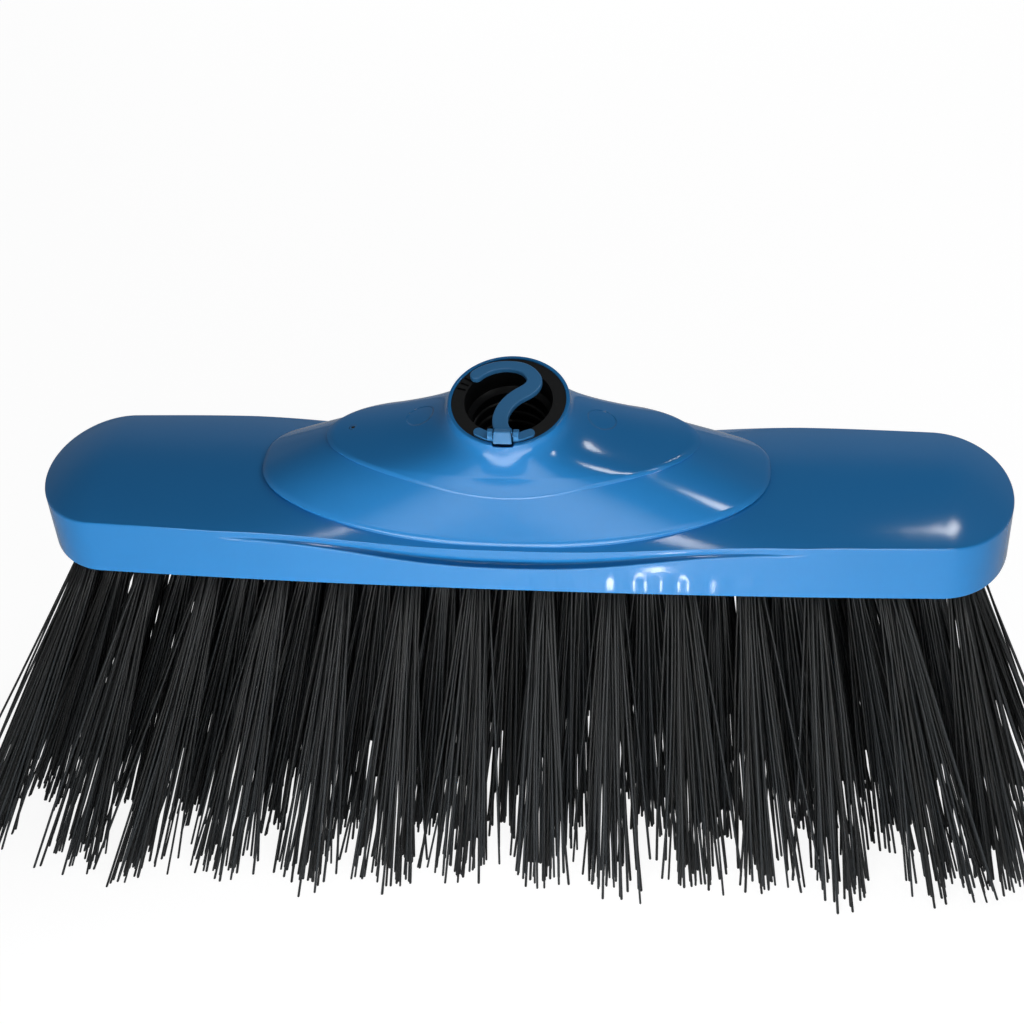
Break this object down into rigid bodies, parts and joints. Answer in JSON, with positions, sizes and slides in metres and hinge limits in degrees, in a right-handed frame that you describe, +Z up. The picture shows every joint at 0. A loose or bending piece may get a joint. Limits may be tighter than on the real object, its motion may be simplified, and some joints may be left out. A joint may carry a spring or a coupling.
{
  "type": "sweeping broom head",
  "caption": "Long sweeping-broom head with a stepped domed cover, a tilted threaded handle socket, a swing-up hanging hook and flared stiff bristles.",
  "frame": {"origin": "on the floor under the middle of the head, at the level of the bristle tips", "axes": "+X along the head, -Y the front that the handle leans to and where the hook hinges, +Z up through the socket"},
  "size_m": [0.3738, 0.091, 0.1742],
  "materials": {
    "cover_plastic": "glossy moulded blue",
    "hook_plastic": "semi-gloss moulded blue",
    "insert_plastic": "black, slight sheen",
    "block_plastic": "black",
    "bristle": "black filament",
    "anchor_wire": "flat wire"
  },
  "bodies": {
    "head": {"head_cover": "cover_plastic", "bristle_block": "block_plastic", "socket_insert": "insert_plastic", "hook_clip": "hook_plastic", "tuft_anchors": "anchor_wire", "tufts_01": "bristle", "tufts_02": "bristle", "tufts_03": "bristle", "tufts_04": "bristle", "tufts_05": "bristle", "tufts_06": "bristle", "tufts_07": "bristle", "tufts_08": "bristle", "tufts_09": "bristle", "tufts_10": "bristle", "tufts_11": "bristle", "tufts_12": "bristle", "tufts_13": "bristle", "tufts_14": "bristle"},
    "hook": {"hanging_hook": "hook_plastic"}
  },
  "joints": [
    {"name": "hook_swing", "type": "hinge", "parent": "head", "child": "hook", "pos_m": [0, -0.01412, 0.16902], "axis": [1, 0, 0], "range_deg": [0, 95]}
  ]
}
